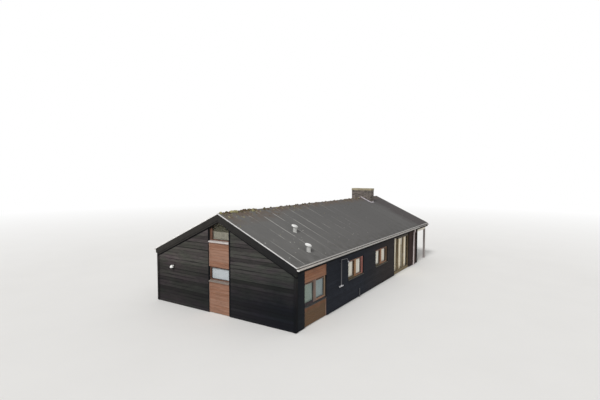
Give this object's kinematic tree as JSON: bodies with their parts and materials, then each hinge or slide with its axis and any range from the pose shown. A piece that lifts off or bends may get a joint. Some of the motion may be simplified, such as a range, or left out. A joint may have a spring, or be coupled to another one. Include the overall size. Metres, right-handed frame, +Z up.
{
  "type": "beach house",
  "caption": "Long low timber beach house with black boarded walls, felt gable roof, brown panel bays, chimney, covered end terrace and hinged glazed doors.",
  "frame": {"origin": "on the ground at the centre of the enclosed rooms, on the underside of the foundation", "axes": "+Y along the house from the near gable to the covered terrace, +X to the side with the terrace doors, +Z up"},
  "size_m": [8.248, 17.664, 5.0136],
  "materials": {
    "concrete": "matt",
    "floor_timber": "satin",
    "black_boards": "matt",
    "brown_boards": "satin",
    "stained_wood": "satin",
    "glass": "gloss",
    "zinc": "satin",
    "steel": "brushed",
    "pale_timber": "matt",
    "felt": "matt",
    "masonry": "rough",
    "white_enamel": "gloss"
  },
  "bodies": {
    "house": {"foundation": "concrete", "floor": "floor_timber", "near_gable_left": "black_boards", "near_gable_right": "black_boards", "far_gable_piers": "black_boards", "far_gable_infill": "black_boards", "right_wall_piers": "black_boards", "right_wall_infill": "black_boards", "left_wall_piers": "black_boards", "left_wall_infill": "black_boards", "bay_panels": "brown_boards", "near_cladding": "black_boards", "far_cladding": "black_boards", "right_cladding": "black_boards", "left_cladding": "black_boards", "corner_boards": "black_boards", "near_window_frames": "stained_wood", "far_window_frames": "stained_wood", "right_window_frames": "stained_wood", "left_window_frames": "stained_wood", "window_glass": "glass", "window_sills": "zinc", "door_posts": "stained_wood", "door_rails": "stained_wood", "roof_deck_right": "pale_timber", "roof_deck_left": "pale_timber", "roof_felt": "felt", "near_verge_boards": "black_boards", "far_verge_boards": "black_boards", "eave_boards": "black_boards", "roof_edge_trim": "zinc", "gutters": "zinc", "downpipes": "zinc", "ridge_beams": "pale_timber", "terrace_edge_beams": "pale_timber", "terrace_tie_beam": "pale_timber", "terrace_posts": "pale_timber", "chimney_stack": "masonry", "chimney_slab": "masonry", "chimney_flashing": "zinc", "roof_vents": "zinc", "wall_lamp": "white_enamel", "outdoor_shower": "steel", "stub_pipe": "black_boards"},
    "near_door": {"near_door_leaf": "stained_wood", "near_door_glass": "glass", "door_handle": "steel"},
    "far_door": {"far_door_leaf": "stained_wood", "far_door_glass": "glass"}
  },
  "joints": [
    {"name": "near_door_hinge", "type": "hinge", "parent": "house", "child": "near_door", "pos_m": [3.868, 3.964, 0.118], "axis": [0, 0, -1], "range_deg": [0, 95]},
    {"name": "far_door_hinge", "type": "hinge", "parent": "house", "child": "far_door", "pos_m": [3.868, 5.836, 0.118], "axis": [0, 0, 1], "range_deg": [0, 95]}
  ]
}
